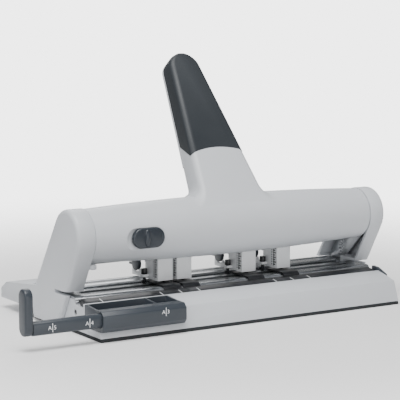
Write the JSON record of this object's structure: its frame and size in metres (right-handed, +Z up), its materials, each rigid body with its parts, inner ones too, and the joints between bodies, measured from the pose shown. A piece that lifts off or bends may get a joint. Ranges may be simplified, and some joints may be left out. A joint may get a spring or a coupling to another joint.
{
  "type": "hole punch",
  "caption": "Adjustable paper punch: a lever on a barrel tube presses punch units on a rail above a slotted steel plate; with paper guide and chip drawer.",
  "frame": {"origin": "centre of the flat underside, on the surface it stands on", "axes": "+X along the tube to the user's right, +Y away from the user, +Z up"},
  "size_m": [0.4273, 0.2065, 0.256],
  "materials": {
    "casing_grey": "fine satin texture",
    "unit_grey": "satin",
    "dark_plastic": "satin",
    "soft_grip": "soft matt",
    "rubber_mat": "matt",
    "machine_steel": "ground"
  },
  "bodies": {
    "base": {"base_shell": "casing_grey", "base_mat": "rubber_mat", "ruler_strip": "dark_plastic", "paper_plate": "machine_steel", "guide_rail": "machine_steel", "left_cheek": "casing_grey", "right_cheek": "casing_grey", "left_side_frame": "machine_steel", "right_side_frame": "machine_steel", "left_bearing_bush": "dark_plastic", "right_bearing_bush": "dark_plastic", "left_return_spring": "machine_steel", "right_return_spring": "machine_steel", "guide_housing": "dark_plastic", "rest_bumper": "casing_grey"},
    "lever": {"lever_cover": "casing_grey", "handle_pad": "soft_grip", "handle_back": "casing_grey", "pivot_shaft": "machine_steel", "left_hub": "dark_plastic", "right_hub": "dark_plastic", "left_press_cam": "machine_steel", "right_press_cam": "machine_steel"},
    "lock": {"lock_slider": "dark_plastic"},
    "press": {"press_bar": "machine_steel", "left_yoke": "machine_steel", "right_yoke": "machine_steel", "left_cam_follower": "dark_plastic", "right_cam_follower": "dark_plastic"},
    "paper_guide": {"guide_bar": "dark_plastic", "guide_paddle": "dark_plastic"},
    "drawer": {"chip_drawer": "dark_plastic", "drawer_grip": "dark_plastic"},
    "unit_1": {"unit_body_1": "unit_grey", "die_foot_1": "dark_plastic"},
    "punch_1": {"punch_pin_1": "machine_steel"},
    "release_1": {"release_lever_1": "dark_plastic"},
    "plunger_1": {"index_plunger_1": "dark_plastic"},
    "unit_2": {"unit_body_2": "unit_grey", "die_foot_2": "dark_plastic"},
    "punch_2": {"punch_pin_2": "machine_steel"},
    "release_2": {"release_lever_2": "dark_plastic"},
    "plunger_2": {"index_plunger_2": "dark_plastic"},
    "unit_3": {"unit_body_3": "unit_grey", "die_foot_3": "dark_plastic"},
    "punch_3": {"punch_pin_3": "machine_steel"},
    "release_3": {"release_lever_3": "dark_plastic"},
    "plunger_3": {"index_plunger_3": "dark_plastic"},
    "unit_4": {"unit_body_4": "unit_grey", "die_foot_4": "dark_plastic"},
    "punch_4": {"punch_pin_4": "machine_steel"},
    "release_4": {"release_lever_4": "dark_plastic"},
    "plunger_4": {"index_plunger_4": "dark_plastic"}
  },
  "joints": [
    {"name": "lever_press", "type": "hinge", "parent": "base", "child": "lever", "pos_m": [0, -0.013, 0.0895], "axis": [1, 0, 0], "range_deg": [0, 75], "stiffness_Nm_per_rad": 0.5, "springref_deg": -17.19},
    {"name": "press_bar_slide", "type": "slide", "parent": "base", "child": "press", "axis": [0, 0, -1], "range_m": [0, 0.01], "deforming": ["left_return_spring", "right_return_spring"]},
    {"name": "lock_slide", "type": "slide", "parent": "lever", "child": "lock", "axis": [-1, 0, 0], "range_m": [0, 0.005]},
    {"name": "paper_guide_slide", "type": "slide", "parent": "base", "child": "paper_guide", "axis": [1, 0, 0], "range_m": [0, 0.058]},
    {"name": "chip_drawer_slide", "type": "slide", "parent": "base", "child": "drawer", "axis": [1, 0, 0], "range_m": [0, 0.15]},
    {"name": "unit_1_slide", "type": "slide", "parent": "base", "child": "unit_1", "axis": [1, 0, 0], "range_m": [-0.07, 0]},
    {"name": "punch_1_slide", "type": "slide", "parent": "unit_1", "child": "punch_1", "axis": [0, 0, -1], "range_m": [0, 0.01]},
    {"name": "release_1_hinge", "type": "hinge", "parent": "unit_1", "child": "release_1", "pos_m": [-0.07625, 0.0344, 0.0498], "axis": [1, 0, 0], "range_deg": [0, 40]},
    {"name": "plunger_1_slide", "type": "slide", "parent": "unit_1", "child": "plunger_1", "axis": [0, 0, 1], "range_m": [0, 0.003], "stiffness_N_per_m": 200, "springref_m": -0.001},
    {"name": "unit_2_slide", "type": "slide", "parent": "base", "child": "unit_2", "axis": [1, 0, 0], "range_m": [0, 0.03]},
    {"name": "punch_2_slide", "type": "slide", "parent": "unit_2", "child": "punch_2", "axis": [0, 0, -1], "range_m": [0, 0.01]},
    {"name": "release_2_hinge", "type": "hinge", "parent": "unit_2", "child": "release_2", "pos_m": [-0.05475, 0.0344, 0.0498], "axis": [1, 0, 0], "range_deg": [0, 40]},
    {"name": "plunger_2_slide", "type": "slide", "parent": "unit_2", "child": "plunger_2", "axis": [0, 0, 1], "range_m": [0, 0.003], "stiffness_N_per_m": 200, "springref_m": -0.001},
    {"name": "unit_3_slide", "type": "slide", "parent": "base", "child": "unit_3", "axis": [1, 0, 0], "range_m": [-0.02, 0.016]},
    {"name": "punch_3_slide", "type": "slide", "parent": "unit_3", "child": "punch_3", "axis": [0, 0, -1], "range_m": [0, 0.01]},
    {"name": "release_3_hinge", "type": "hinge", "parent": "unit_3", "child": "release_3", "pos_m": [0.02125, 0.0344, 0.0498], "axis": [1, 0, 0], "range_deg": [0, 40]},
    {"name": "plunger_3_slide", "type": "slide", "parent": "unit_3", "child": "plunger_3", "axis": [0, 0, 1], "range_m": [0, 0.003], "stiffness_N_per_m": 200, "springref_m": -0.001},
    {"name": "unit_4_slide", "type": "slide", "parent": "base", "child": "unit_4", "axis": [1, 0, 0], "range_m": [0, 0.06]},
    {"name": "punch_4_slide", "type": "slide", "parent": "unit_4", "child": "punch_4", "axis": [0, 0, -1], "range_m": [0, 0.01]},
    {"name": "release_4_hinge", "type": "hinge", "parent": "unit_4", "child": "release_4", "pos_m": [0.06375, 0.0344, 0.0498], "axis": [1, 0, 0], "range_deg": [0, 40]},
    {"name": "plunger_4_slide", "type": "slide", "parent": "unit_4", "child": "plunger_4", "axis": [0, 0, 1], "range_m": [0, 0.003], "stiffness_N_per_m": 200, "springref_m": -0.001}
  ],
  "couplings": [
    {"joint": "press_bar_slide", "follows": "lever_press", "m_per_rad": 0.0076394},
    {"joint": "punch_1_slide", "follows": "lever_press", "m_per_rad": 0.0076394},
    {"joint": "punch_2_slide", "follows": "lever_press", "m_per_rad": 0.0076394},
    {"joint": "punch_3_slide", "follows": "lever_press", "m_per_rad": 0.0076394},
    {"joint": "punch_4_slide", "follows": "lever_press", "m_per_rad": 0.0076394}
  ]
}
